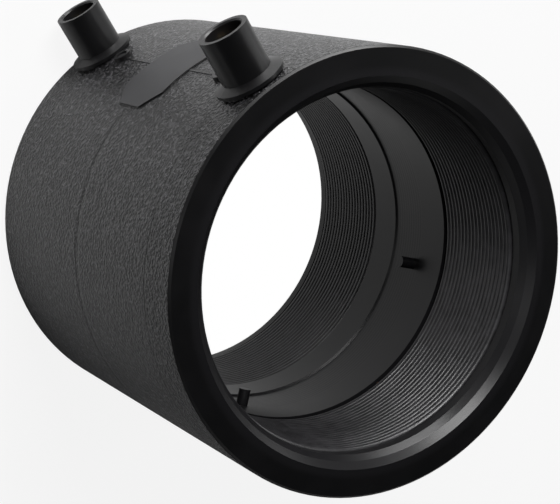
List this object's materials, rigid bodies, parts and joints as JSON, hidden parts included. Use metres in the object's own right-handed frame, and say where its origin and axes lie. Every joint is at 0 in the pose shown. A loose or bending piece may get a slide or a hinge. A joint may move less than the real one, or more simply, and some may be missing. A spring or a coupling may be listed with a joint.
{
  "type": "electrofusion coupler",
  "caption": "Moulded plastic sleeve that joins two pipe ends by heating coils in its bore, with a pair of shrouded electrical terminals on its side.",
  "frame": {"origin": "centre of the lower annular end face, on the pipe axis", "axes": "+Z along the pipe axis, up through the upper socket's mouth; the terminals stand out towards -Y; +X completes the right-handed frame"},
  "size_m": [0.113, 0.1274, 0.108],
  "materials": {
    "black_polyethylene": "spark-eroded grain outside, satin on the end faces, terminals and bore",
    "coated_winding": "satin, fine ridges",
    "pin_brass": "turned",
    "lead_copper": "drawn wire",
    "indicator_polyethylene": "satin"
  },
  "bodies": {
    "root": {"coupler_body": "black_polyethylene", "heating_coil_lower": "coated_winding", "heating_coil_upper": "coated_winding", "crossover_lead": "lead_copper", "contact_pin_lower": "pin_brass", "contact_pin_upper": "pin_brass", "indicator_pin_lower": "indicator_polyethylene", "indicator_pin_upper": "indicator_polyethylene"}
  },
  "joints": []
}
